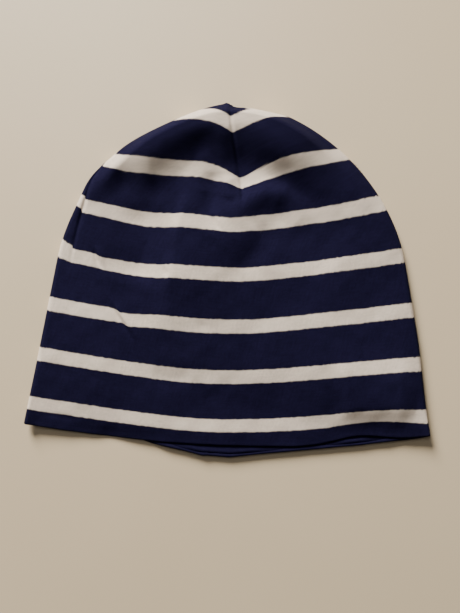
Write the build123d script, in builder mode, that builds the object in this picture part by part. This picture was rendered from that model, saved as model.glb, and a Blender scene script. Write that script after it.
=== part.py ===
from build123d import *

import os
from math import atan2, ceil, cos, degrees, hypot, radians, sin, sqrt

# A double-layer striped jersey beanie, lying flat on its back.
#
# The crown points along +Y, the open hem along -Y and the front of the hat faces +Z. The origin is the
# centre of the hat's outline, on the surface it lies on. All lengths are in millimetres.
#
# The shell is one tube of jersey, closed by a seam down the centre back and drawn in by four crown seams:
# a short dart at the centre front, a long one at each side, and the top of the back seam. The lining is the
# same tube, one size smaller. Each seam is held by a row of overlock stitches between the two layers.
#
# Throughout, s is the distance from the crown tip towards the hem, and inset is how far inside the hat's
# outer surface a layer's surface lies.

# Outline of the hat lying flat
HAT_LENGTH = 203.0  # crown tip to the lowest point of the back hem
CROWN_HALF_WIDTH = 80.3  # half the width of the elliptical dome
CROWN_DEPTH = 90.0  # crown tip to where the dome turns into the straight sides
FLARE = 0.2  # how fast each side widens towards the hem

# Thickness of the hat lying flat
FOLD_RADIUS = 2.9  # round of the two side folds
TIP_PUFF = 8.0  # height of the front over the table at the crown tip
CROWN_PUFF = 14.0  # the same at its fullest
HEM_PUFF = 12.0  # the same at the hem
FULLEST = 68.0  # distance from the crown tip to the fullest point

# Layers
JERSEY = 0.8  # thickness of the knitted fabric
LAYER_GAP = 0.8  # room for seam edges and thread between shell and lining
LINING_INSET = JERSEY + LAYER_GAP
CAVITY_INSET = LINING_INSET + JERSEY

# Hem line
HEM_CORNER = 186.0  # distance from the crown tip to the two hem corners
FRONT_HEM_SAG = 9.0  # how far the front hem bows below its corners
BACK_HEM_SAG = HAT_LENGTH - HEM_CORNER
LINING_SETBACK = 1.5  # the lining ends this far inside the hem

# Seams
SEAM_START = 7.0  # seams stop this far short of the crown tip
FRONT_DART_LENGTH = 57.0
FRONT_DART_LEAN = 8.0  # sideways shift of the front dart's lower end, to +X
SIDE_DART_LENGTH = 84.0
SIDE_DART_TIP_MARGIN = 5.0  # from the side fold to the seam, near the crown tip
SIDE_DART_END_MARGIN = 9.0  # from the side fold to the seam, at its lower end
BACK_SEAM_LEAN = -14.0  # sideways shift of the back seam at the hem, to -X
BACK_SEAM_END = 193.0  # the back seam's stitches stop short of the hem's own

# Stitches
STITCH_PITCH = 3.0
STITCH_BITE = 3.6  # length of one stitch, across the seam
STITCH_WIDTH = 0.5
THREAD = 0.25
THREAD_STANDOFF = 0.15  # from the middle of a stitch to the fabric it holds
HEM_STITCH_PITCH = 6.0
HEM_STITCH_MARGIN = 5.0  # from the hem edge to the stitch row
HEM_STITCH_SIDE_MARGIN = 7.2  # from the side fold to the last stitch

# Crown tack and care label
TACK_WIDTH = 5.0
TACK_HEIGHT = 1.6
LABEL_WIDTH = 14.0
LABEL_LENGTH = 26.0
LABEL_RIBBON = 0.2
LABEL_FROM_HEM = 62.0  # back hem to the label's sewn end
LABEL_CLEARANCE = 0.1  # label to the lining it lies on

# How the surfaces are drawn
FIRST_STATION = 6.0  # degrees of the dome's quarter ellipse, where the blunt crown tip ends
CROWN_STATIONS = 10  # cross-sections in the dome
BODY_STATIONS = (108.0, 130.0, 160.0, 188.0, 215.0)  # cross-sections below the dome
BELOW_TABLE = 0.3  # the outer body is lofted this far below the table, then cut flat
CUT_MARGIN = 1.0  # the hem cutters reach this far past the hat's sides, top and bottom
CUT_REACH = 40.0  # and this far beyond the hem
SLOPE_STEP = 0.5  # half the distance over which a slope is measured

TIP_Y = HAT_LENGTH / 2
FOLD_Z = FOLD_RADIUS


def ease(share):
    """Smooth step from 0 to 1 as share goes from 0 to 1."""
    return (1 - cos(radians(180 * share))) / 2


def puff(s, inset=0.0):
    """Height of the front surface over the table, along the middle of the hat."""
    if s < FULLEST:
        height = TIP_PUFF + (CROWN_PUFF - TIP_PUFF) * ease(s / FULLEST)
    else:
        share = min(1.0, (s - FULLEST) / (HEM_CORNER - FULLEST))
        height = CROWN_PUFF + (HEM_PUFF - CROWN_PUFF) * ease(share)
    return height - inset


def half_width(s, inset=0.0):
    """Half the width of the flat hat."""
    down = min(1.0, max(0.0, (s - inset) / (CROWN_DEPTH - inset)))
    return (CROWN_HALF_WIDTH - inset) * sqrt(1 - (1 - down) ** 2) + FLARE * s


def front_height(x, s, inset=0.0):
    """Height of the front surface at x: a shallow arc between the two side folds."""
    radius = FOLD_RADIUS - inset
    half_chord = half_width(s, inset) - radius
    edge = FOLD_Z + radius
    rise = puff(s, inset) - edge
    arc = (half_chord**2 + rise**2) / (2 * rise)
    return edge + sqrt(arc**2 - x**2) - (arc - rise)


def stations(inset):
    """Distances from the crown tip of the cross-sections that a layer is lofted through."""
    step = (90 - FIRST_STATION) / (CROWN_STATIONS - 1)
    angles = [radians(FIRST_STATION + i * step) for i in range(CROWN_STATIONS)]
    dome = [inset + (CROWN_DEPTH - inset) * (1 - cos(angle)) for angle in angles]
    return dome + list(BODY_STATIONS)


def envelope(inset, floor_drop=0.0):
    """The solid that fills the flat hat, drawn in by inset all round."""
    radius = FOLD_RADIUS - inset
    bottom = FOLD_Z - radius - floor_drop
    top = FOLD_Z + radius
    with BuildPart() as body:
        for s in stations(inset):
            side = half_width(s, inset) - radius
            with BuildSketch(Plane.XZ.offset(s - TIP_Y)):
                with BuildLine():
                    Line((-side, bottom), (side, bottom))
                    ThreePointArc((side, bottom), (side + radius, FOLD_Z), (side, top))
                    ThreePointArc((side, top), (0, puff(s, inset)), (-side, top))
                    ThreePointArc((-side, top), (-side - radius, FOLD_Z), (-side, bottom))
                make_face()
        loft()
        if floor_drop:
            split(bisect_by=Plane.XY, keep=Keep.TOP)
    return body.part


def hem_cutter(sag, setback, low, high):
    """What lies beyond a bowed hem line, between two heights."""
    corner_x = half_width(HEM_CORNER) + CUT_MARGIN
    corner_y = TIP_Y - HEM_CORNER + setback
    side_x = 2 * corner_x
    beyond_y = -TIP_Y - CUT_REACH
    with BuildPart() as cutter:
        with BuildSketch(Plane.XY.offset(low)):
            with BuildLine():
                ThreePointArc((-corner_x, corner_y), (0, corner_y - sag), (corner_x, corner_y))
                Polyline(
                    (corner_x, corner_y),
                    (side_x, corner_y),
                    (side_x, beyond_y),
                    (-side_x, beyond_y),
                    (-side_x, corner_y),
                    (-corner_x, corner_y),
                )
            make_face()
        extrude(amount=high - low)
    return cutter.part


def fabric_tube(inset, setback, floor_drop=0.0):
    """One layer of jersey: a flattened tube closed at the crown and open at the hem."""
    outside = envelope(inset, floor_drop)
    inside = envelope(inset + JERSEY)
    front_cut = hem_cutter(FRONT_HEM_SAG, setback, FOLD_Z, CROWN_PUFF + CUT_MARGIN)
    back_cut = hem_cutter(BACK_HEM_SAG, setback, -CUT_MARGIN, FOLD_Z)
    with BuildPart() as tube:
        add(outside)
        add(inside, mode=Mode.SUBTRACT)
        add(front_cut, mode=Mode.SUBTRACT)
        add(back_cut, mode=Mode.SUBTRACT)
    return tube


def front_plane(x, s, direction, depth):
    """Plane under the shell's front surface, sunk by depth, with its X along direction degrees."""
    rise_x = front_height(x + SLOPE_STEP, s, depth) - front_height(x - SLOPE_STEP, s, depth)
    rise_s = front_height(x, s + SLOPE_STEP, depth) - front_height(x, s - SLOPE_STEP, depth)
    normal = Vector(-rise_x, rise_s, 2 * SLOPE_STEP).normalized()
    across = Vector(cos(radians(direction)), sin(radians(direction)), 0)
    x_dir = across - normal * across.dot(normal)
    return Plane(origin=(x, TIP_Y - s, front_height(x, s, depth)), x_dir=x_dir, z_dir=normal)


def back_plane(x, s, direction, depth):
    """Plane above the table by depth, with its X along direction degrees."""
    across = (cos(radians(direction)), sin(radians(direction)), 0)
    return Plane(origin=(x, TIP_Y - s, depth), x_dir=across, z_dir=(0, 0, 1))


def stitch_row(path, end, plane_at, depth):
    """Stitches across a seam. path gives x at s, and plane_at gives the plane each stitch lies in."""
    length = sum(hypot(path(s + 1) - path(s), 1) for s in range(int(SEAM_START), int(end)))
    count = ceil(length / STITCH_PITCH)
    places = []
    for i in range(count):
        s = SEAM_START + (end - SEAM_START) * (i + 0.5) / count
        across = degrees(atan2(path(s + SLOPE_STEP) - path(s - SLOPE_STEP), 2 * SLOPE_STEP))
        places.append(plane_at(path(s), s, across, depth))
    with BuildPart() as row:
        with Locations(*places):
            Box(STITCH_BITE, STITCH_WIDTH, THREAD)
    return row


def front_dart_x(s):
    """The front dart leans to +X on its way down."""
    return FRONT_DART_LEAN * s / FRONT_DART_LENGTH


def back_seam_x(s):
    """The back seam leans to -X on its way down to the hem."""
    return BACK_SEAM_LEAN * s / HAT_LENGTH


def right_dart_x(s):
    """The right dart runs just inside the +X fold, and moves in a little on its way down."""
    share = s / SIDE_DART_LENGTH
    margin = SIDE_DART_TIP_MARGIN + (SIDE_DART_END_MARGIN - SIDE_DART_TIP_MARGIN) * share
    return half_width(s, margin)


def left_dart_x(s):
    """The left dart mirrors the right one."""
    return -right_dart_x(s)


def hem_stitches(depth):
    """Stitches that join shell and lining, all round the hem and in line with the knitted columns."""
    corner_x = half_width(HEM_CORNER)
    reach = corner_x - HEM_STITCH_SIDE_MARGIN
    count = ceil(2 * reach / HEM_STITCH_PITCH)
    with BuildPart() as ring:
        for i in range(count + 1):
            x = -reach + 2 * reach * i / count
            bow = 1 - (x / corner_x) ** 2
            front_s = HEM_CORNER + FRONT_HEM_SAG * bow - HEM_STITCH_MARGIN
            back_s = HEM_CORNER + BACK_HEM_SAG * bow - HEM_STITCH_MARGIN
            with Locations(front_plane(x, front_s, 90, depth), back_plane(x, back_s, 90, depth)):
                Box(STITCH_BITE, STITCH_WIDTH, THREAD)
    return ring


def crown_tack():
    """Bar tack that holds the lining's crown tip in the shell's."""
    gap_start = stations(JERSEY)[0]
    gap_end = stations(LINING_INSET)[0]
    with BuildPart() as tack:
        with BuildSketch(Plane.XZ.offset(gap_start - TIP_Y)):
            with Locations((0, FOLD_Z)):
                SlotOverall(TACK_WIDTH, TACK_HEIGHT)
        extrude(amount=gap_end - gap_start)
    return tack


def care_label():
    """Blank ribbon folded in two, lying on the back of the lining with its sewn end at the back seam."""
    sewn_s = HAT_LENGTH - LABEL_FROM_HEM
    sewn_y = TIP_Y - sewn_s
    fold_gap = LABEL_RIBBON
    thickness = 2 * LABEL_RIBBON + fold_gap
    middle_z = CAVITY_INSET + LABEL_CLEARANCE + thickness / 2
    with BuildPart() as label:
        with BuildSketch(Plane.YZ.offset(back_seam_x(sewn_s) - LABEL_WIDTH / 2)):
            with Locations((sewn_y - LABEL_LENGTH / 2, middle_z)):
                SlotOverall(LABEL_LENGTH, thickness)
                SlotOverall(LABEL_LENGTH - 2 * LABEL_RIBBON, fold_gap, mode=Mode.SUBTRACT)
            with Locations((sewn_y, middle_z)):
                Rectangle(2 * thickness, 2 * thickness, mode=Mode.SUBTRACT)
        extrude(amount=LABEL_WIDTH)
    return label


def write(piece, name):
    """Labels a finished piece and writes it as its own STEP file."""
    piece.part.label = name
    export_step(piece.part, f"parts/{name}.step")


os.makedirs("parts", exist_ok=True)

write(fabric_tube(0.0, 0.0, BELOW_TABLE), "outer_shell")
write(fabric_tube(LINING_INSET, LINING_SETBACK), "lining")

# The shell's stitches lie on its inside, and the lining's stitches on the lining's outside.
layers = {
    "shell": JERSEY + THREAD_STANDOFF,
    "lining": LINING_INSET - THREAD_STANDOFF,
}
seams = {
    "front_dart": (front_dart_x, FRONT_DART_LENGTH, front_plane),
    "left_dart": (left_dart_x, SIDE_DART_LENGTH, front_plane),
    "right_dart": (right_dart_x, SIDE_DART_LENGTH, back_plane),
    "back_seam": (back_seam_x, BACK_SEAM_END, back_plane),
}
for layer, depth in layers.items():
    for seam, (path, end, plane_at) in seams.items():
        write(stitch_row(path, end, plane_at, depth), f"{layer}_{seam}_stitching")

write(hem_stitches(JERSEY + LAYER_GAP / 2), "hem_stitching")
write(crown_tack(), "crown_tack")
write(care_label(), "care_label")
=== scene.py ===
from math import cos, pi, sin

import bpy
import numpy as np
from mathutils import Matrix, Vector


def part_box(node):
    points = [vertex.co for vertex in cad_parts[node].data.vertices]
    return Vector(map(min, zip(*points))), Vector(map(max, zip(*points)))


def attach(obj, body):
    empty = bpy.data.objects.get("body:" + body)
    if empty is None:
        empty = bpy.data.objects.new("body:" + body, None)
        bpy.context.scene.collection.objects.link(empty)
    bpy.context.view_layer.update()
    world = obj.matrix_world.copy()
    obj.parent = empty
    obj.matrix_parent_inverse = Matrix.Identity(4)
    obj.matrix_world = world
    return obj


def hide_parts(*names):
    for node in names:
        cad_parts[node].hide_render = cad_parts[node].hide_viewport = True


# A double-layer striped jersey beanie lying flat on its back, seen from straight above.
#
# Lengths are in millimetres until a mesh is made, which is in metres. The crown points along +Y and the
# front faces +Z. Throughout, s is the distance from the crown tip towards the hem, and inset is how far
# inside the hat's outer surface a layer's surface lies.

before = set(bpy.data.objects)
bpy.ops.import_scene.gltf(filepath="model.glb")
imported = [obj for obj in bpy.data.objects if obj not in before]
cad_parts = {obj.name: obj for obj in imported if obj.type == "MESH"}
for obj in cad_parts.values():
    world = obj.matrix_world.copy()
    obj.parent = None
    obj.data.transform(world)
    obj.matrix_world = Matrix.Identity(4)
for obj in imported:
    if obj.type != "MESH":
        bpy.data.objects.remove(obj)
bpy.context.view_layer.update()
MM = 0.001

# Driving sizes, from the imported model
SHELL_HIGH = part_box("outer_shell")[1] / MM
TIP_Y = SHELL_HIGH.y
HALF_HEM = SHELL_HIGH.x

# Outline of the flat hat
CORNER_S = 186.0  # crown tip to the hem corners, on average
FLARE = 0.2  # how fast each side widens towards the hem
DOME_HALF_WIDTH = HALF_HEM - FLARE * CORNER_S
DOME_DEPTH = 90.0

# Thickness of the flat hat and its layers
FOLD_RADIUS = 2.9
HEM_FOLD_RADIUS = 2.05
CROWN_PUFF = 8.0
RIM_RISE = 8.6
FULLEST = 62.0  # from the crown tip to where the front is fullest
JERSEY = 0.8
LINING_INSET = 1.6
CLEARANCE = 0.02  # the lowest fabric stays this far above the table
TIP_RISE_LENGTH = 14.0  # the front rises to its full puff over about 1.8 times this length

# Stripes, measured along the fabric
STRIPE_PITCH = 29.6
WHITE_WIDTH = 7.8
WALE = 0.9  # width of one knitted column
COURSE = 0.6  # height of one knitted row

# Grid of the fabric
ROWS = 236
LINING_ROWS = 150
FOLD_CROWDING = 0.8  # how strongly the columns crowd together at the side folds
ROW_STEPS = 14  # steps in which the knitted row at a place is found


def smooth(value):
    """Smooth step from 0 to 1 as value goes from 0 to 1."""
    value = np.clip(value, 0.0, 1.0)
    return value * value * (3 - 2 * value)


def bell(distance, width):
    """1 at distance 0, fading out over width."""
    return np.exp(-((distance / width) ** 2))


# ---------------------------------------------------------------- outline and cross-section


def half_width(s, left, inset=0.0):
    """Half the width of the flat hat at s.

    The crown is cut back at its tip, further down on the left. The right side is narrower at the hem.
    """
    down = np.clip((s - inset) / (DOME_DEPTH - inset), 0.0, 1.0)
    width = (DOME_HALF_WIDTH - inset) * np.sqrt(1 - (1 - down) ** 2) + FLARE * s
    cut_left = 7.5 * (1 - smooth((s - 5) / 22)) - 2.4 * bell(s - 42, 11)
    cut_right = 9.8 * (1 - smooth((s - 2) / 7)) - 2.2 * bell(s - 78, 55) * smooth(s / 40)
    cut_right = cut_right + 3.4 * smooth((s - 130) / 60)
    return width - np.minimum(np.where(left, cut_left, cut_right), 0.6 * width)


def front_hem(share):
    """Where the front hem lies, share across the hat from -1 to 1. It waves near the right corner."""
    bow = 9.4 * (1 - np.abs(share) ** np.where(share < 0, 2.0, 2.5))
    wave = -4.5 * bell(share * HALF_HEM - 76, 20)
    return 186.2 + 3.4 * share + bow + wave


def back_hem(share):
    """Where the back hem lies. Its left half hangs lower towards the back seam, where it steps up."""
    near = 1 - np.abs(share)
    on_left = 182.8 + 22.0 * near**1.27 - 5.0 * bell(share * HALF_HEM + 68, 17)
    on_right = 189.9 + 12.4 * near**0.75
    to_right = smooth((share * HALF_HEM + 15.2) / 2.4)
    return on_left + (on_right - on_left) * to_right


def fold_radius(s):
    """Radius of the side folds, which are pressed flatter at the hem."""
    return FOLD_RADIUS - (FOLD_RADIUS - HEM_FOLD_RADIUS) * smooth((s - 140) / 46)


def puff(s):
    """Height of the front along the middle of the hat, over its side folds. It settles at the hem."""
    rise = CROWN_PUFF - 2 * FOLD_RADIUS
    fall = rise * smooth((s - FULLEST) / (CORNER_S + 6 - FULLEST))
    return rise * smooth(s / TIP_RISE_LENGTH * 0.5 + 0.12) - fall


def crown_rim(x, s, half):
    """The front of the crown stands up in a rim along the outline and falls off inside it."""
    beside = np.maximum(half - np.abs(x), 0.01)
    across = np.clip((np.abs(x) - FLARE * s) / DOME_HALF_WIDTH, 0.0, 1.0)
    below = np.maximum(s - DOME_DEPTH * (1 - np.sqrt(1 - across**2)), 0.01)
    from_outline = beside * below / np.hypot(beside, below)
    on_right = smooth((x + 2) / 10)
    far_left = smooth((-x - 48) / 18)
    far_right = smooth((x - 38) / 28)
    steep_right = bell(x - 29, 14)
    left_middle = 22.5 - 4.0 * bell(x + 16, 9) + 1.2 * smooth((x + 9) / 8) - 12.0 * smooth((-x - 44) / 18)
    left_length = 21.0 - 6.5 * bell(x + 14, 8) - 5.0 * smooth((-x - 44) / 18)
    right_middle = 22.5 - 1.5 * bell(x - 8, 8) + 1.5 * steep_right
    right_length = 26.0 - 7.0 * steep_right
    middle = left_middle + (right_middle - left_middle) * on_right
    length = left_length + (right_length - left_length) * on_right
    fallen = np.clip((from_outline - middle) / length + 0.5, 0.0, 1.0) ** (1 + 0.3 * on_right)
    rim = smooth(from_outline / (10.0 - 2.5 * bell(x, 32))) * (1 - smooth(fallen))
    along = 1 - smooth((s - 43 + 4 * far_left) / (30 - 8 * far_left + 16 * far_right))
    weaker = 0.33 * far_left + 0.25 * smooth((-x - 64) / 10) + 0.72 * far_right + 0.08 * bell(x + 20, 8)
    return RIM_RISE * (1 - weaker + 0.3 * steep_right) * rim * along


def height(x, s, front, inset=0.0):
    """Height of the smooth surface, front or back, drawn in by inset."""
    half = half_width(s, x < 0, inset)
    step = 0.05
    lean = (half_width(s + step, x < 0, inset) - half) / step
    from_edge = np.maximum((half - np.abs(x)) / np.sqrt(1 + lean**2), 0.0)
    radius = fold_radius(s) - inset
    round_off = np.sqrt(np.maximum(radius**2 - np.maximum(radius - from_edge, 0.0) ** 2, 0.0))
    across = np.clip(np.abs(x) / np.maximum(half - radius, 0.5), 0.0, 1.0)
    dome = puff(s) * (1 - across**2.4) ** 1.2 + crown_rim(x, s, half)
    return fold_radius(s) + np.where(front, round_off + dome, -round_off)


# ---------------------------------------------------------------- seams


def front_dart_x(s):
    return 0.5 + 7.5 * smooth(s / 62) + 0.6 * smooth((s - 62) / 120)


def back_seam_x(s):
    return -14.0 * s / 203.0


def dart_margin(s):
    """From a side fold to the side dart."""
    return np.minimum(0.6 + 7.6 * smooth((s - 26) / 62), 0.3 * half_width(s, False))


SEAM_START = 9.0
FRONT_DART_END = 57.0
DIP_END = 52.0  # where the dip of the rows has faded to half
SIDE_DART_START = 34.0
SIDE_DART_END = 84.0
BACK_SEAM_END = 193.0


def seam_strength(s, end, fade):
    """1 along a dart, fading out around its end, where it is 0.5."""
    return 1 - smooth((s - end + fade) / (2 * fade))


# ---------------------------------------------------------------- folds in the front


def ridge(x, y, points, widths, rise):
    """A soft ridge, or a valley where rise is negative, along a few points, tapering at both ends.

    Its two widths are those to the left and to the right of its way along the points.
    """
    nearest = np.full(np.shape(x), 1e9)
    along = np.zeros(np.shape(x))
    width = np.zeros(np.shape(x))
    lengths = [np.hypot(b[0] - a[0], b[1] - a[1]) for a, b in zip(points, points[1:])]
    total = sum(lengths)
    start = 0.0
    for (ax, ay), (bx, by), length in zip(points, points[1:], lengths):
        share = ((x - ax) * (bx - ax) + (y - ay) * (by - ay)) / length**2
        share = np.clip(share, 0.0, 1.0)
        distance = np.hypot(x - ax - share * (bx - ax), y - ay - share * (by - ay))
        to_left = ((y - ay) * (bx - ax) - (x - ax) * (by - ay)) / length
        to_left = np.clip(to_left / np.maximum(distance, 0.01), -1.0, 1.0)
        closer = distance < nearest
        nearest = np.where(closer, distance, nearest)
        along = np.where(closer, (start + share * length) / total, along)
        middle, half_range = (widths[0] + widths[1]) / 2, (widths[0] - widths[1]) / 2
        width = np.where(closer, middle + half_range * to_left, width)
        start += length
    taper = smooth(along / 0.25) * smooth((1 - along) / 0.25)
    return rise * bell(nearest, width) * (0.25 + 0.75 * taper)


def mound(x, y, at, size, rise):
    return rise * np.exp(-(((x - at[0]) / size[0]) ** 2) - ((y - at[1]) / size[1]) ** 2)


# The left end and the top of the arch across the crown, which two ridges share
ARCH = ((-3, 36.5), (6.5, 41.5), (14, 46), (22, 49), (30, 48))

# Folds as (points, widths to the left and right along them, rise)
SOFT_FOLDS = (
    (((-21, 60), (-21.5, 50), (-23.5, 42), (-28, 27), (-29, 17), (-31.5, 5), (-35, -14)), (34.0, 5.5), 3.0),
    (((-9, 40), (-8, 18), (-10, -4), (-12, -34)), (12.0, 20.0), 1.5),
    (((15, 33), (9, 26), (3, 19), (-3, 12)), (8.0, 26.0), 1.3),
    (((-8, 63), (-10, 47), (-12, 34)), (5.5, 5.5), -1.9),
    (((0, 60), (1, 44)), (4.5, 4.5), 1.3),
    (ARCH + ((36, 44),), (6.0, 8.5), 2.0),
    (ARCH + ((37, 43), (44, 35), (49, 24)), (6.0, 8.5), 1.7),
    (((26, 32), (22, 27), (17.5, 20), (11.5, 12.5), (5, 5)), (7.5, 6.0), -1.4),
    (((-47, 46), (-48, 26), (-52, 8), (-55, -4)), (9.0, 17.0), -3.0),
    (((-45, -54), (-34, -56), (-20, -57.5)), (6.0, 6.0), -1.4),
    (((34, 30), (60, 4)), (11.0, 11.0), -0.9),
    (((-70, 20), (-48, -34)), (11.0, 11.0), -0.9),
    (((20, -10), (8, -50)), (9.0, 9.0), -0.7),
    (((48, 34), (52, -30), (54, -76)), (36.0, 60.0), 2.2),
    (((58, -73), (74, -71), (90, -71), (108, -72)), (24.0, 8.5), 4.4),
)
CREASES = (
    (((-77, 18), (-74, 9)), (1.2, 1.2), -0.6),
    (((-9.5, 36), (-5.5, 28)), (1.0, 1.0), -0.9),
    (((-37, 8), (-35, 2)), (1.2, 1.2), -0.4),
    (((-104, -76), (-88, -79)), (2.0, 2.0), -0.5),
)
# Mounds and dents as (place, size, rise)
MOUNDS = (
    ((-12, 71), (9, 6), 1.3),
    ((-36, 4), (3, 3), -0.6),
    ((-15, -26), (4, 3), -0.6),
)

# Small tucks, across which the rows step down to the right, as (upper end, lower end, step)
TUCKS = (
    ((-64.5, -16), (-57.5, -27), 2.0),
    ((-75.5, 16), (-72.5, 8), 1.1),
)


def from_tuck(x, y, upper, lower):
    """How far a place is to the right of a tuck, and how strong the tuck is there."""
    across, down = lower[0] - upper[0], lower[1] - upper[1]
    length = np.hypot(across, down)
    share = ((x - upper[0]) * across + (y - upper[1]) * down) / length**2
    right = ((y - upper[1]) * across - (x - upper[0]) * down) / length
    return right, bell(share - 0.5, 0.75)


def tuck_step(x, y):
    """How far the rows are moved down near the tucks."""
    total = np.zeros(np.shape(x))
    for upper, lower, step in TUCKS:
        right, strength = from_tuck(x, y, upper, lower)
        to_right = 0.5 + 0.5 * np.tanh(right / 1.1)
        beyond = to_right * np.exp(-np.maximum(right, 0.0) / 16)
        before = 0.3 * (1 - to_right) * np.exp(np.minimum(right, 0.0) / 9)
        total = total + step * strength * (beyond - before)
    return total


def tuck_shape(x, y):
    """The fold of each tuck: a small roll on its right that falls off sharply on its left."""
    total = np.zeros(np.shape(x))
    for upper, lower, step in TUCKS:
        right, strength = from_tuck(x, y, upper, lower)
        total = total + 0.7 * step * strength * (bell(right - 1.0, 1.3) - 0.8 * bell(right + 1.0, 1.1))
    return total


def wander(x, y, seed, length, size):
    """Smooth random unevenness, size high over about length."""
    rng = np.random.default_rng(seed)
    total = np.zeros(np.shape(x))
    waves = 14
    for _ in range(waves):
        angle = rng.uniform(0, pi)
        wave = length * rng.uniform(0.7, 1.6)
        phase = rng.uniform(0, 2 * pi)
        total += np.sin((x * cos(angle) + y * sin(angle)) * 2 * pi / wave + phase)
    return size * total / np.sqrt(waves)


def soft_shape(x, y):
    """The broad folds, which the stripes follow."""
    total = wander(x, y, 3, 46, 0.32)
    for points, widths, rise in SOFT_FOLDS:
        total = total + ridge(x, y, points, widths, rise)
    for at, size, rise in MOUNDS:
        total = total + mound(x, y, at, size, rise)
    return total


def fine_shape(x, y):
    """The narrow creases and the small unevenness of the jersey."""
    total = wander(x, y, 5, 14, 0.10) + tuck_shape(x, y)
    for points, widths, rise in CREASES:
        total = total + ridge(x, y, points, widths, rise)
    return total


# ---------------------------------------------------------------- stripes


def side_rise(row, left):
    """How much higher a knitted row lies at the side fold than in the middle of the front."""
    on_left = 13.6 - 16.5 * smooth((row - 3.4) / 3.4)
    on_right = 5.6 + 1.8 * row + 0.8 * bell(row - 2.6, 1.7) - 16.0 * smooth((row - 4.3) / 1.9)
    on_right = on_right - 0.8 * bell(row - 5, 0.45) + 2.2 * smooth((row - 5.4) / 0.6)
    return np.where(left, on_left, on_right)


def side_bow(row, share):
    """Shape of a row between the middle and the side fold: nearly straight low down, rounder in the crown."""
    straight = (np.sqrt(share**2 + 0.35**2) - 0.35) / (np.sqrt(1 + 0.35**2) - 0.35)
    rounder = smooth((row - 1.5) / 3.5)
    left_power = 2.4 - 0.9 * bell(row - 4, 0.5) + 0.8 * smooth((row - 4.4) / 0.6)
    return straight + (np.abs(share) ** np.where(share < 0, left_power, 1.5) - straight) * rounder


def row_middle(row):
    """Height on the flat hat of the middle of a row, counted in stripes from the hem's stripe."""
    middle = -82.9 + 27.2 * row + 0.42 * row**2 + 0.7 * bell(row - 2, 1.4) - 1.5 * bell(row - 4.2, 0.9)
    return middle + 0.5 * bell(row - 5, 0.6) - 0.9 * bell(row - 6.2, 0.7)


def dart_dip(x, s, seam_x):
    """How far rows are drawn down at the front dart or at the top of the back seam.

    Below it comes a small broad dip, which is the same on the front and the back.
    """
    depth = (6.3 + 0.1 * s) * seam_strength(s, DIP_END, 14)
    width = np.where(x < seam_x, 10.0, 15.5)
    below = 1.5 * bell(x - 3, 12) * bell(s - 69, 9)
    return depth * np.exp(-((np.abs(x - seam_x) / width) ** 1.25)) + below


def side_dart_lift(x, s, front):
    """Rows step at a side dart. They run on unbroken round the side fold beside it."""
    margin = dart_margin(s)
    from_fold = half_width(s, x < 0) - np.abs(x)
    beyond = margin - from_fold
    has_dart = np.where(x < 0, front, ~front)
    step = has_dart * (1.5 * smooth(beyond / 0.7) + 0.3 * np.maximum(beyond, 0.0))
    at_fold = (1.5 * smooth(margin / 0.7) + 0.3 * margin) * bell(from_fold, 24)
    on_back = np.where(x < 0, at_fold, step - at_fold)
    return np.where(front, step, on_back) * seam_strength(s, SIDE_DART_END + 2, 9)


def stripe_row(x, y, front):
    """Which row of knitting is at a place, counted in stripes from the one nearest the hem."""
    s = TIP_Y - y
    left = x < 0
    half = half_width(s, left)
    share = np.clip(x / np.maximum(half, 1.0), -1.0, 1.0)
    hem_wave = 3.2 * bell(x - 82, 22) * smooth((s - 170) / 17)
    near_fold = bell(half - np.abs(x), 5.0)
    front_dip = dart_dip(x, s, front_dart_x(s)) - (0.25 * soft_shape(x, y) + hem_wave) * (1 - near_fold)
    place = y + np.where(front, front_dip, dart_dip(x, s, back_seam_x(s)))
    place = place - side_dart_lift(x, s, front) + np.where(front, tuck_step(x, y), 0.0)
    # A first guess, then closer to it step by step
    row = (y + 82.3) / STRIPE_PITCH
    for _ in range(ROW_STEPS):
        on_front = row_middle(row) + side_rise(row, left) * side_bow(row, share)
        mean = (side_rise(row, True) + side_rise(row, False)) / 2
        tilt = (side_rise(row, False) - side_rise(row, True)) / 2
        on_back = row_middle(row) + mean + tilt * share - 15.0 * (1 - share**2)
        row = row - 0.8 * (np.where(front, on_front, on_back) - place) / STRIPE_PITCH
    return row


# ---------------------------------------------------------------- the fabric's grid


def crowd(share, fold_at_end):
    """Spreads columns between two seams, closer together towards a side fold."""
    if not fold_at_end:
        share = 1 - share
    crowded = (1 - FOLD_CROWDING) * share + FOLD_CROWDING * np.sin(pi / 2 * share)
    return crowded if fold_at_end else 1 - crowded


def columns(s, detail):
    """x and side of every column of the tube at s, from the back seam round by the left to it again."""
    left_fold = -half_width(s, True)
    right_fold = half_width(s, False)
    left_dart = left_fold + dart_margin(s)
    right_dart = right_fold - dart_margin(s)
    narrow = np.clip(right_fold / 12.0, 0.0, 1.0)
    front_dart = front_dart_x(s) * narrow
    back_seam = back_seam_x(s) * narrow
    stretches = (
        (back_seam, left_fold, False, "end", 110),
        (left_fold, left_dart, True, "start", 16),
        (left_dart, front_dart, True, "none", 108),
        (front_dart, right_fold, True, "end", 118),
        (right_fold, right_dart, False, "start", 16),
        (right_dart, back_seam, False, "none", 108),
    )
    xs, sides = [], []
    for start, end, front, fold, count in stretches:
        count = int(count * detail)
        share = np.arange(count) / count
        if fold != "none":
            share = crowd(share, fold == "end")
        xs.append(start[:, None] + (end - start)[:, None] * share[None, :])
        sides.append(np.full((len(s), count), front))
    xs.append(back_seam[:, None])
    sides.append(np.full((len(s), 1), False))
    return np.concatenate(xs, axis=1), np.concatenate(sides, axis=1)


def corner_lift(x, s):
    """The hem corners stand a little off the table."""
    near_hem = smooth((s - 140) / 50)
    return 2.4 * near_hem * smooth((np.abs(x) - 78) / 38) ** 1.5


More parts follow.
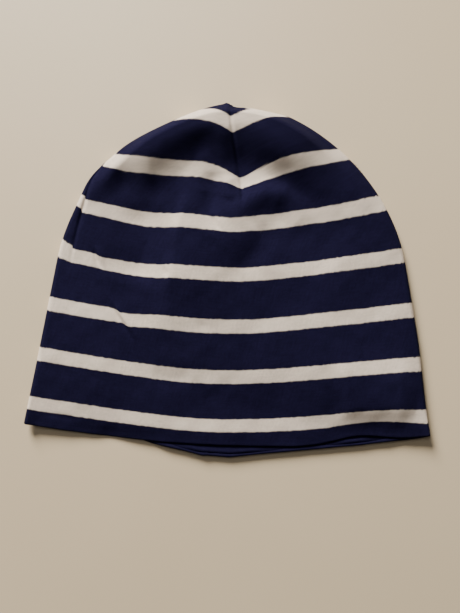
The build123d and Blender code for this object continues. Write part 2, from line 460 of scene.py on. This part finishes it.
def hem_droop(x, s):
    """How far the front falls just above its hem. On the left it hangs over the back hem."""
    from_hem = front_hem(x / HALF_HEM) - s
    over_back = 1.4 * bell(x + 66, 20) * (1 - smooth(from_hem / 9))
    return 0.8 * (1 - smooth(from_hem / 10)) + over_back


def seam_grooves(x, s, front):
    """How far the fabric is drawn in along its seams: narrow grooves, and a broad pull at the front dart."""
    side_gap = half_width(s, x < 0) - dart_margin(s) - np.abs(x)
    has_dart = np.where(front, x < 0, x >= 0)
    side = 1.1 * bell(side_gap, 1.0) * seam_strength(s, SIDE_DART_END, 14) * has_dart
    dart_end = 0.7 * bell(s - 50, 6) * bell(x - front_dart_x(s), 0.9)
    on_front = 0.9 * bell(x - front_dart_x(s), 1.0) * seam_strength(s, FRONT_DART_END, 5) + dart_end + side
    on_back = 0.6 * bell(x - back_seam_x(s), 1.1) + 0.6 * side
    pull = 1.3 * bell(x - front_dart_x(s), 7.0) * seam_strength(s, FRONT_DART_END, 14)
    from_tip = smooth(s / 10)
    return np.where(front, on_front, on_back) * from_tip, np.where(front, pull, 0.0) * from_tip


def fabric_height(x, x_in, s, front, inset, grooves):
    """Height of a layer with its folds, its seams and its lifted corners. It stays above the table."""
    y = TIP_Y - s
    at_edge = bell(half_width(s, x < 0) - np.abs(x), 4.0)
    calm = smooth(s / 14) * (1 - at_edge)
    groove, pull = seam_grooves(x, s, front)
    on_front = (soft_shape(x, y) + grooves * fine_shape(x, y)) * calm - grooves * groove - pull
    on_front = on_front - hem_droop(x, s) * (1 - at_edge)
    resting = 0.35 + 0.35 * np.clip(wander(x, y, 11, 38, 1.0), -1, 1)
    flat_hem = 1 - smooth((s - CORNER_S + 30) / 30)
    beyond_front = s - front_hem(x / half_width(s, x < 0)) - 0.2
    lip = 1.5 * smooth(beyond_front / 2.2) * (1 - at_edge)
    on_back = resting * calm * flat_hem + grooves * groove + lip
    z = height(x_in, s, front, inset) + np.where(front, on_front, on_back) + corner_lift(x, s)
    return np.maximum(z, CLEARANCE + inset)


def fabric_points(rows, inset, setback, detail, grooves):
    """Points of one layer as rows x columns x 3, with each point's place in the knitting."""
    share_down = np.arange(1, rows + 1) / rows
    nominal = CORNER_S * (0.35 * share_down**2 + 0.65 * share_down)
    nominal = nominal - CORNER_S * 0.65 * share_down * np.exp(-share_down * 22)
    x, front = columns(nominal, detail)
    s = np.repeat(nominal[:, None], x.shape[1], axis=1)
    left = x < 0
    share = x / half_width(s, left)
    hem = np.where(front, front_hem(share), back_hem(share)) - setback
    s = s + (hem - CORNER_S) * smooth((s - 60) / (CORNER_S - 60))
    widen = half_width(s, left) / half_width(nominal[:, None], left)
    x = x * widen
    x_in = x * (1 - inset / np.maximum(half_width(s, left), 2 * inset + 1))
    # The lining is pressed closer to the shell near the hem
    inset = inset * (1 - 0.38 * smooth((s - CORNER_S + 40) / 36))
    y = TIP_Y - s
    z = fabric_height(x, x_in, s, front, inset, grooves)
    row = stripe_row(x, y, front)
    tip_notch = 1.8 * smooth((x + 1) / 4) * bell(x - 3, 7) * (1 - smooth(s / 9))
    return np.stack([x_in, y - tip_notch, z], axis=2), row


def around(points):
    """Distance round the tube from the back seam, at each point."""
    steps = np.linalg.norm(np.diff(points, axis=1), axis=2)
    return np.concatenate([np.zeros((len(points), 1)), np.cumsum(steps, axis=1)], axis=1)


def turned_edge(points, row, radius, steps, turn_in):
    """Rows that carry the fabric round the hem in a half circle, and back inside for the length turn_in."""
    last, before = points[-1], points[-4]
    along = last - before
    along = along / np.linalg.norm(along, axis=1)[:, None]
    around_hem = np.roll(last[:-1], -1, axis=0) - np.roll(last[:-1], 1, axis=0)
    around_hem = np.concatenate([around_hem, around_hem[:1]])
    inward = np.cross(around_hem, along)
    inward = inward / np.maximum(np.linalg.norm(inward, axis=1)[:, None], 1e-9)
    extra, rows = [], []
    for i in range(1, steps + 1):
        angle = pi * i / steps
        shift = along * radius * sin(angle) + inward * radius * (1 - cos(angle))
        extra.append(last + shift)
        rows.append(row[-1] - radius * angle / STRIPE_PITCH)
    extra.append(extra[-1] - along * turn_in)
    rows.append(rows[-1] - turn_in / STRIPE_PITCH)
    turned = np.array(extra)
    turned[:, :, 2] = np.maximum(turned[:, :, 2], CLEARANCE)
    return np.concatenate([points, turned]), np.concatenate([row, np.array(rows)])


def fabric_mesh(name, points, row, thickness):
    """A closed-tip tube of jersey with a UV map that holds each corner's place in the knitting, in mm."""
    count_rows, count_columns = points.shape[:2]
    n = count_columns - 1
    tip = np.array([[0.0, TIP_Y - 0.02, FOLD_RADIUS]])
    vertices = np.concatenate([points[:, :-1].reshape(-1, 3), tip]) * MM
    i, j = np.meshgrid(np.arange(count_rows - 1), np.arange(n), indexing="ij")
    i, j = i.ravel(), j.ravel()
    following = (j + 1) % n
    quads = np.stack([i * n + j, (i + 1) * n + j, (i + 1) * n + following, i * n + following], 1)
    pole = count_rows * n
    fan = np.stack([np.full(n, pole), np.arange(n), (np.arange(n) + 1) % n], 1)
    faces = [tuple(map(int, q)) for q in quads] + [tuple(map(int, f)) for f in fan]
    mesh = bpy.data.meshes.new(name)
    mesh.from_pydata(vertices.tolist(), [], faces)
    wale = around(points)
    course = row * STRIPE_PITCH
    place = np.stack([wale, course], axis=2)
    quad_uv = np.stack([place[i, j], place[i + 1, j], place[i + 1, j + 1], place[i, j + 1]], 1)
    columns_index = np.arange(n)
    tip_uv = place[0, :-1].copy()
    tip_uv[:, 1] = place[0, :, 1].max()
    fan_uv = np.stack([tip_uv, place[0, columns_index], place[0, columns_index + 1]], 1)
    uv_layer = mesh.uv_layers.new(name="fabric")
    values = np.concatenate([quad_uv.reshape(-1, 2), fan_uv.reshape(-1, 2)])
    uv_layer.data.foreach_set("uv", values.astype(np.float32).ravel())
    mesh.polygons.foreach_set("use_smooth", [True] * len(mesh.polygons))
    mesh.update()
    piece = bpy.data.objects.new(name, mesh)
    bpy.context.scene.collection.objects.link(piece)
    solid = piece.modifiers.new("thickness", "SOLIDIFY")
    solid.thickness = thickness * MM
    solid.offset = -1
    solid.use_even_offset = False
    return piece


# ---------------------------------------------------------------- materials


class Nodes:
    """Short names for the shader nodes of one material."""

    def __init__(self, name):
        self.material = bpy.data.materials.new(name)
        self.material.use_nodes = True
        self.tree = self.material.node_tree
        self.shader = self.tree.nodes["Principled BSDF"]

    def link(self, source, socket):
        if isinstance(source, (int, float)):
            socket.default_value = source
        elif isinstance(source, tuple):
            socket.default_value = source
        else:
            self.tree.links.new(source, socket)

    def math(self, operation, *inputs):
        node = self.tree.nodes.new("ShaderNodeMath")
        node.operation = operation
        for value, socket in zip(inputs, node.inputs):
            self.link(value, socket)
        return node.outputs[0]

    def mix(self, factor, a, b, blend="MIX"):
        node = self.tree.nodes.new("ShaderNodeMix")
        node.data_type = "RGBA"
        node.blend_type = blend
        self.link(factor, node.inputs[0])
        self.link(a, node.inputs[6])
        self.link(b, node.inputs[7])
        return node.outputs[2]

    def noise(self, vector, scale, detail=2.0):
        node = self.tree.nodes.new("ShaderNodeTexNoise")
        node.inputs["Scale"].default_value = scale
        node.inputs["Detail"].default_value = detail
        self.link(vector, node.inputs["Vector"])
        return node.outputs["Fac"]

    def object_place(self):
        return self.tree.nodes.new("ShaderNodeTexCoord").outputs["Object"]

    def bump(self, height_value, distance, strength=1.0):
        node = self.tree.nodes.new("ShaderNodeBump")
        node.inputs["Strength"].default_value = strength
        node.inputs["Distance"].default_value = distance
        self.link(height_value, node.inputs["Height"])
        self.link(node.outputs["Normal"], self.shader.inputs["Normal"])


NAVY = (0.0040, 0.0032, 0.0140, 1)
NAVY_LIGHT = (0.0100, 0.0084, 0.0310, 1)
WHITE = (0.835, 0.706, 0.582, 1)
WHITE_DARK = (0.60, 0.495, 0.390, 1)


def jersey(name, tone):
    """Striped single jersey: columns of V-shaped stitches, a little unevenly dyed, with painted shade in the
    hollows between the yarn legs.
    """
    nodes = Nodes(name)
    uv = nodes.tree.nodes.new("ShaderNodeUVMap")
    uv.uv_map = "fabric"
    split = nodes.tree.nodes.new("ShaderNodeSeparateXYZ")
    nodes.link(uv.outputs[0], split.inputs[0])
    column = nodes.math("DIVIDE", split.outputs[0], WALE)
    in_column = nodes.math("ABSOLUTE", nodes.math("SUBTRACT", nodes.math("FRACT", column), 0.5))
    loop = nodes.math("DIVIDE", split.outputs[1], COURSE)
    unsteady = nodes.tree.nodes.new("ShaderNodeTexWhiteNoise")
    unsteady.noise_dimensions = "1D"
    nodes.link(nodes.math("FLOOR", column), unsteady.inputs["W"])
    loop = nodes.math("MULTIPLY_ADD", unsteady.outputs["Value"], 0.7, loop)
    leg = nodes.math("MULTIPLY_ADD", in_column, 2.6, loop)
    stitch_row = nodes.math("FLOOR", leg)

    # Stripes change colour from one knitted row to the next
    row_mm = nodes.math("MULTIPLY", nodes.math("ADD", stitch_row, 0.2), COURSE)
    stripe = nodes.math("FRACT", nodes.math("DIVIDE", row_mm, STRIPE_PITCH))
    from_white = nodes.math("SUBTRACT", 0.5, nodes.math("ABSOLUTE", nodes.math("SUBTRACT", stripe, 0.5)))
    is_white = nodes.math("LESS_THAN", from_white, WHITE_WIDTH / STRIPE_PITCH / 2)

    # Each stitch takes the dye a little differently, and the yarn has thick and thin places along its rows
    stitch = nodes.tree.nodes.new("ShaderNodeCombineXYZ")
    nodes.link(nodes.math("FLOOR", column), stitch.inputs[0])
    nodes.link(stitch_row, stitch.inputs[1])
    each = nodes.tree.nodes.new("ShaderNodeTexWhiteNoise")
    nodes.link(stitch.outputs[0], each.inputs["Vector"])
    place = nodes.object_place()
    broad = nodes.noise(place, 28.0, 3.0)
    fibre = nodes.noise(place, 2600.0, 2.0)
    along_row = nodes.tree.nodes.new("ShaderNodeCombineXYZ")
    nodes.link(nodes.math("MULTIPLY", split.outputs[0], 0.16), along_row.inputs[0])
    nodes.link(nodes.math("MULTIPLY", split.outputs[1], 1.1), along_row.inputs[1])
    slub = nodes.noise(along_row.outputs[0], 1.0, 2.0)
    down_column = nodes.tree.nodes.new("ShaderNodeCombineXYZ")
    nodes.link(nodes.math("MULTIPLY", split.outputs[0], 0.9), down_column.inputs[0])
    nodes.link(nodes.math("MULTIPLY", split.outputs[1], 0.10), down_column.inputs[1])
    rib = nodes.noise(down_column.outputs[0], 1.0, 2.0)
    streaks = nodes.math("MULTIPLY_ADD", nodes.math("ADD", slub, rib), 1.6, -1.1)
    uneven = nodes.math("MULTIPLY_ADD", each.outputs["Value"], 0.30, nodes.math("MULTIPLY", broad, 0.45))
    uneven = nodes.math("MULTIPLY_ADD", streaks, 0.45, uneven)
    uneven = nodes.math("MINIMUM", nodes.math("MAXIMUM", uneven, 0.0), 1.0)
    navy = nodes.mix(uneven, tuple(c * tone for c in NAVY[:3]) + (1,), NAVY_LIGHT)
    white = nodes.mix(uneven, WHITE_DARK, WHITE)
    colour = nodes.mix(is_white, navy, white)

    # Height of the yarn: two legs in each column, one V in each row. It drives the bump, and as painted shade
    # it darkens the colour where the yarn lies low.
    legs = nodes.math("SINE", nodes.math("MULTIPLY", in_column, 2 * pi))
    legs = nodes.math("POWER", nodes.math("MAXIMUM", legs, 0.0), 0.6)
    turns = nodes.math("COSINE", nodes.math("MULTIPLY", leg, 2 * pi))
    turns = nodes.math("MULTIPLY_ADD", turns, -0.35, 0.65)
    yarn = nodes.math("MULTIPLY", legs, turns)
    # Painted shade: the stripes' colour is multiplied darker in the hollows between the yarn legs and rows.
    painted_yarn_shade = nodes.math("MULTIPLY_ADD", yarn, 0.62, 0.52)
    painted_yarn_shade_colour = nodes.tree.nodes.new("ShaderNodeCombineXYZ")
    for socket in painted_yarn_shade_colour.inputs:
        nodes.link(painted_yarn_shade, socket)
    colour = nodes.mix(1.0, colour, painted_yarn_shade_colour.outputs[0], "MULTIPLY")
    nodes.link(colour, nodes.shader.inputs["Base Color"])
    nodes.link(nodes.math("MULTIPLY_ADD", fibre, 0.15, 0.82), nodes.shader.inputs["Roughness"])
    nodes.shader.inputs["Specular IOR Level"].default_value = 0.03
    nodes.shader.inputs["Sheen Weight"].default_value = 0.008
    nodes.shader.inputs["Sheen Roughness"].default_value = 0.55
    nodes.shader.inputs["Sheen Tint"].default_value = (0.55, 0.58, 0.85, 1)
    fuzz = nodes.math("MULTIPLY_ADD", fibre, 0.25, yarn)
    nodes.bump(fuzz, 0.16 * MM, 0.7)
    return nodes.material


def thread_material():
    """Spun polyester thread: twisted plies with a slight lustre."""
    nodes = Nodes("thread")
    place = nodes.object_place()
    wave = nodes.tree.nodes.new("ShaderNodeTexWave")
    wave.bands_direction = "DIAGONAL"
    wave.inputs["Scale"].default_value = 900.0
    wave.inputs["Distortion"].default_value = 1.5
    nodes.link(place, wave.inputs["Vector"])
    twist = wave.outputs["Fac"]
    # Painted shade and highlight: the colour is darker in the grooves between the plies and lighter on their
    # crowns, following the twist.
    colour = nodes.mix(twist, (0.012, 0.012, 0.034, 1), (0.035, 0.036, 0.085, 1))
    nodes.link(colour, nodes.shader.inputs["Base Color"])
    nodes.shader.inputs["Roughness"].default_value = 0.6
    nodes.bump(twist, 0.05 * MM)
    return nodes.material


def ribbon_material():
    """Satin label ribbon, blank, with a woven selvedge texture."""
    nodes = Nodes("ribbon")
    place = nodes.object_place()
    weave = nodes.tree.nodes.new("ShaderNodeTexWave")
    weave.bands_direction = "Y"
    weave.inputs["Scale"].default_value = 1100.0
    weave.inputs["Distortion"].default_value = 0.6
    nodes.link(place, weave.inputs["Vector"])
    dirt = nodes.noise(place, 160.0, 3.0)
    colour = nodes.mix(dirt, (0.70, 0.69, 0.66, 1), (0.80, 0.79, 0.765, 1))
    nodes.link(colour, nodes.shader.inputs["Base Color"])
    nodes.link(nodes.math("MULTIPLY_ADD", dirt, 0.2, 0.34), nodes.shader.inputs["Roughness"])
    nodes.bump(weave.outputs["Fac"], 0.03 * MM)
    return nodes.material


# ---------------------------------------------------------------- the two layers of jersey

SHELL_JERSEY = jersey("jersey_shell", 1.0)
LINING_JERSEY = jersey("jersey_lining", 0.85)
THREAD_MATERIAL = thread_material()


def layer(name, node, points, row, material):
    """One layer of the hat, in place of its CAD node."""
    piece = fabric_mesh(name, points, row, JERSEY)
    piece.data.materials.append(material)
    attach(piece, "root")
    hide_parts(node)
    return piece


# The shell turns round the hem, and the lining's edge lies inside that turn
HEM_TURN = 0.9
HEM_TURN_STEPS = 9
HEM_TURN_IN = 1.0
shell_points, shell_row = fabric_points(ROWS, 0.0, HEM_TURN, 1.0, 1.0)
shell_points, shell_row = turned_edge(shell_points, shell_row, HEM_TURN, HEM_TURN_STEPS, HEM_TURN_IN)
shell = layer("shell_jersey", "outer_shell", shell_points, shell_row, SHELL_JERSEY)
lining_points, lining_row = fabric_points(LINING_ROWS, LINING_INSET, 2 * HEM_TURN, 0.6, 0.4)
lining = layer("lining_jersey", "lining", lining_points, lining_row, LINING_JERSEY)


# ---------------------------------------------------------------- stitches

THREAD_RADIUS = 0.11
STITCH_PITCH = 3.0
STITCH_BITE = 3.4
THREAD_DEPTHS = {"shell": 1.0, "lining": 1.4}
HEM_STITCHES = 75
HEM_STITCH_REACH = 0.93  # how far they run towards the side folds, as a share
HEM_STITCH_INSET = 5.0


def thread_piece(name, node, lines):
    """Threads along several lines, as one piece in place of a CAD node."""
    curve = bpy.data.curves.new(name, "CURVE")
    curve.dimensions = "3D"
    curve.bevel_depth = THREAD_RADIUS * MM
    curve.bevel_resolution = 1
    for line in lines:
        spline = curve.splines.new("POLY")
        spline.points.add(len(line) - 1)
        for point, place in zip(spline.points, line):
            point.co = (*(c * MM for c in place), 1)
    bare = bpy.data.objects.new("bare", curve)
    mesh = bpy.data.meshes.new_from_object(bare)
    bpy.data.objects.remove(bare)
    bpy.data.curves.remove(curve)
    mesh.name = name
    mesh.polygons.foreach_set("use_smooth", [True] * len(mesh.polygons))
    piece = bpy.data.objects.new(name, mesh)
    bpy.context.scene.collection.objects.link(piece)
    mesh.materials.clear()
    mesh.materials.append(THREAD_MATERIAL)
    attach(piece, "root")
    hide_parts(node)
    return piece


def at_depth(x, s, front, depth):
    """A point between the layers, depth inside the outer surface."""
    x, s, front = np.array(x, float), np.array(s, float), np.array(front)
    z = fabric_height(x, x, s, front, 0.0, 1.0) + np.where(front, -depth, depth)
    return (float(x), float(TIP_Y - s), float(z))


def overlock(seam, start, end, front, depth):
    """Overlock threads: a straight needle thread, and two loopers that zigzag over the seam's edge."""
    count = int((end - start) / STITCH_PITCH)
    middle, upper, lower = [], [], []
    for i in range(4 * count + 1):
        s = start + (end - start) * i / (4 * count)
        x = float(seam(np.array(s)))
        reach = STITCH_BITE / 2
        middle.append(at_depth(x - reach * 0.8, s, front, depth))
        swing = reach * cos(pi * i / 2)
        upper.append(at_depth(x + swing, s, front, depth - 0.06))
        lower.append(at_depth(x - swing, s, front, depth + 0.06))
    return [middle, upper, lower]


def left_dart_x(s):
    return -half_width(s, True) + dart_margin(s)


def right_dart_x(s):
    return half_width(s, False) - dart_margin(s)


SEAMS = {
    "front_dart": (front_dart_x, SEAM_START, FRONT_DART_END, True),
    "left_dart": (left_dart_x, SIDE_DART_START, SIDE_DART_END, True),
    "right_dart": (right_dart_x, SIDE_DART_START, SIDE_DART_END, False),
    "back_seam": (back_seam_x, SEAM_START, BACK_SEAM_END, False),
}
for layer_name, depth in THREAD_DEPTHS.items():
    for seam_name, (seam, start, end, front) in SEAMS.items():
        lines = overlock(seam, start, end, front, depth)
        thread_piece(f"{layer_name}_{seam_name}_threads", f"{layer_name}_{seam_name}_stitching", lines)


def hem_lines():
    """Short stitches that join shell and lining near the hem, front and back."""
    lines = []
    for front, hem_line in ((True, front_hem), (False, back_hem)):
        for i in range(HEM_STITCHES):
            share = -HEM_STITCH_REACH + 2 * HEM_STITCH_REACH * i / (HEM_STITCHES - 1)
            x = share * HALF_HEM
            s = float(hem_line(np.array(share))) - HEM_STITCH_INSET
            bars = []
            for along in (-1.6, -0.6, 0.6, 1.6):
                bars.append(at_depth(x + 0.25 * along, s + along, front, 1.2))
            lines.append(bars)
    return lines


thread_piece("hem_threads", "hem_stitching", hem_lines())


def bar_tack():
    """A dense zigzag that holds the lining's tip in the shell's."""
    low, high = (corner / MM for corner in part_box("crown_tack"))
    line = []
    turns = 22
    for i in range(turns + 1):
        x = low.x + 0.2 + (high.x - low.x - 0.4) * i / turns
        y = (low.y + high.y) / 2
        z = low.z + 0.2 if i % 2 else high.z - 0.2
        line.append((x, y, z))
    return [line]


thread_piece("crown_tack_threads", "crown_tack", bar_tack())


# ---------------------------------------------------------------- care label


def care_label():
    """Blank ribbon folded in two, its free fold curling a little off the lining."""
    low, high = (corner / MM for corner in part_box("care_label"))
    across, along = 15, 40
    thickness = high.z - low.z
    points = []
    for i in range(along + 1):
        turn = i / along
        if turn < 0.5:
            y = high.y + (low.y - high.y) * smooth(turn * 2)
            z = low.z + 0.1
        else:
            y = low.y + (high.y - low.y) * smooth(turn * 2 - 1)
            z = high.z - 0.1
        curl = 0.5 * ((high.y - y) / (high.y - low.y)) ** 2
        for j in range(across):
            x = low.x + (high.x - low.x) * j / (across - 1)
            cup = 0.12 * (1 - (2 * j / (across - 1) - 1) ** 2)
            points.append((x * MM, y * MM, (z + curl + cup + thickness * 0.1) * MM))
    faces = []
    for i in range(along):
        for j in range(across - 1):
            a = i * across + j
            faces.append((a, a + 1, a + across + 1, a + across))
    mesh = bpy.data.meshes.new("care_label_ribbon")
    mesh.from_pydata(points, [], faces)
    mesh.polygons.foreach_set("use_smooth", [True] * len(mesh.polygons))
    piece = bpy.data.objects.new("care_label_ribbon", mesh)
    bpy.context.scene.collection.objects.link(piece)
    solid = piece.modifiers.new("thickness", "SOLIDIFY")
    solid.thickness = 0.15 * MM
    mesh.materials.append(ribbon_material())
    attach(piece, "root")
    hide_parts("care_label")
    return piece


care_label()


# ---------------------------------------------------------------- floor, light and camera


def floor():
    """A plain pale table top."""
    mesh = bpy.data.meshes.new("floor")
    reach = 3.0
    corners = [(-reach, -reach, 0), (reach, -reach, 0), (reach, reach, 0), (-reach, reach, 0)]
    mesh.from_pydata(corners, [], [(0, 1, 2, 3)])
    table = bpy.data.objects.new("floor", mesh)
    bpy.context.scene.collection.objects.link(table)
    nodes = Nodes("table")
    grain = nodes.noise(nodes.object_place(), 9.0, 3.0)
    colour = nodes.mix(grain, (0.515, 0.405, 0.258, 1), (0.545, 0.435, 0.284, 1))
    nodes.link(colour, nodes.shader.inputs["Base Color"])
    nodes.shader.inputs["Roughness"].default_value = 0.43
    nodes.shader.inputs["Specular IOR Level"].default_value = 1.0
    mesh.materials.append(nodes.material)


def area_light(name, place, size, power, colour):
    data = bpy.data.lights.new(name, "AREA")
    data.shape = "DISK"
    data.size = size
    data.energy = power
    data.color = colour
    lamp = bpy.data.objects.new(name, data)
    lamp.location = place
    lamp.rotation_euler = Vector(place).to_track_quat("Z", "Y").to_euler()
    bpy.context.scene.collection.objects.link(lamp)


def studio():
    area_light("key", (-0.80, 1.80, 1.0), 1.0, 180.0, (1.0, 0.98, 0.95))
    area_light("fill", (-0.20, 0.48, 1.2), 0.5, 2.4, (1.0, 0.98, 0.95))
    world = bpy.data.worlds.new("studio")
    world.use_nodes = True
    world.node_tree.nodes["Background"].inputs[0].default_value = (1.0, 0.96, 0.90, 1)
    world.node_tree.nodes["Background"].inputs[1].default_value = 0.10
    bpy.context.scene.world = world


def camera():
    """Straight above the hat, upright, with the crown at the top of the picture."""
    data = bpy.data.cameras.new("camera")
    distance = 0.45
    seen_height = 0.3525
    data.sensor_width = 36
    data.lens = 36 * distance / seen_height
    eye = bpy.data.objects.new("camera", data)
    eye.location = (0.0006, -0.015, distance)
    eye.rotation_euler = (0, 0, 0)
    data.clip_start = 0.01
    bpy.context.scene.collection.objects.link(eye)
    bpy.context.scene.camera = eye


floor()
studio()
camera()
